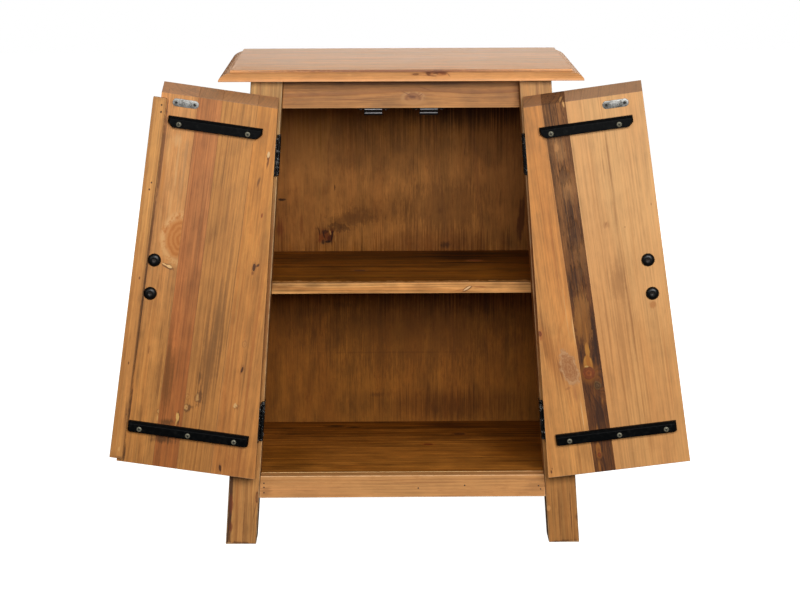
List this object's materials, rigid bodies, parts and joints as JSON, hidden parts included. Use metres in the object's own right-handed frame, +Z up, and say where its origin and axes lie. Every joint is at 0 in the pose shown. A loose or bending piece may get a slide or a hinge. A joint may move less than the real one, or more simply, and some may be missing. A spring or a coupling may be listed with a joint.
{
  "type": "bathroom cabinet",
  "caption": "Tapered pine bathroom cabinet with splayed legs, moulded top, an open shelf inside and plank doors that swing on leaning hinge lines.",
  "frame": {"origin": "bottom centre of the bounding box with both doors open as in the picture; the floor is z = 0", "axes": "+X to the right seen from the front, +Y to the back (the front faces -Y), +Z up"},
  "size_m": [0.8186, 0.359, 0.682],
  "materials": {
    "pine_top": "planed, thin clear oil",
    "pine_frame": "planed, honey stain, matt lacquer",
    "pine_panel": "planed, brown stain, matt",
    "ply_back": "thin ply, brown stain, matt",
    "board_honey": "sanded old pine, matt lacquer",
    "board_tan": "sanded old pine, matt lacquer",
    "board_red": "sanded old pine, matt lacquer",
    "board_dark": "rough weathered old pine, matt",
    "strip_pine": "planed, honey stain, matt lacquer",
    "iron_black": "black paint, satin",
    "zinc_plate": "bright zinc plating",
    "screw_zinc": "yellowed zinc plating",
    "catch_brown": "moulded brown plastic"
  },
  "bodies": {
    "carcass": {"top_board": "pine_top", "leg_front_left": "pine_frame", "leg_front_right": "pine_frame", "leg_rear_left": "pine_frame", "leg_rear_right": "pine_frame", "side_panel_left": "pine_panel", "side_panel_right": "pine_panel", "back_panel": "ply_back", "top_front_rail": "pine_frame", "bottom_front_rail": "pine_frame", "top_rear_rail": "pine_frame", "floor_panel": "pine_panel", "shelf": "pine_panel", "shelf_cleat_left": "pine_panel", "shelf_cleat_right": "pine_panel", "magnet_catch_left": "catch_brown", "magnet_catch_right": "catch_brown", "left_upper_hinge_leg_leaf": "iron_black", "left_upper_hinge_pin": "iron_black", "left_lower_hinge_leg_leaf": "iron_black", "left_lower_hinge_pin": "iron_black", "right_upper_hinge_leg_leaf": "iron_black", "right_upper_hinge_pin": "iron_black", "right_lower_hinge_leg_leaf": "iron_black", "right_lower_hinge_pin": "iron_black"},
    "left_door": {"left_door_board_1": "board_honey", "left_door_board_2": "board_red", "left_door_board_3": "board_tan", "left_door_board_4": "board_honey", "left_door_cover_strip": "strip_pine", "left_door_upper_strap": "iron_black", "left_door_lower_strap": "iron_black", "left_upper_strap_screw_1": "screw_zinc", "left_upper_strap_screw_2": "screw_zinc", "left_lower_strap_screw_1": "screw_zinc", "left_lower_strap_screw_2": "screw_zinc", "left_lower_strap_screw_3": "screw_zinc", "left_strike_plate": "zinc_plate", "left_handle": "iron_black", "left_handle_bolt_1": "iron_black", "left_handle_bolt_2": "iron_black", "left_upper_hinge_door_leaf": "iron_black", "left_lower_hinge_door_leaf": "iron_black"},
    "right_door": {"right_door_board_1": "board_tan", "right_door_board_2": "board_dark", "right_door_board_3": "board_honey", "right_door_upper_strap": "iron_black", "right_door_lower_strap": "iron_black", "right_upper_strap_screw_1": "screw_zinc", "right_upper_strap_screw_2": "screw_zinc", "right_lower_strap_screw_1": "screw_zinc", "right_lower_strap_screw_2": "screw_zinc", "right_lower_strap_screw_3": "screw_zinc", "right_strike_plate": "zinc_plate", "right_handle": "iron_black", "right_handle_bolt_1": "iron_black", "right_handle_bolt_2": "iron_black", "right_upper_hinge_door_leaf": "iron_black", "right_lower_hinge_door_leaf": "iron_black"}
  },
  "joints": [
    {"name": "left_door_hinge", "type": "hinge", "parent": "carcass", "child": "left_door", "pos_m": [-0.21232, -0.1252, 0], "axis": [-0.0741, 0, -0.9972], "range_deg": [-180, 5]},
    {"name": "right_door_hinge", "type": "hinge", "parent": "carcass", "child": "right_door", "pos_m": [0.21232, -0.1252, 0], "axis": [-0.0741, 0, 0.9972], "range_deg": [-174.5, 10.5]}
  ]
}
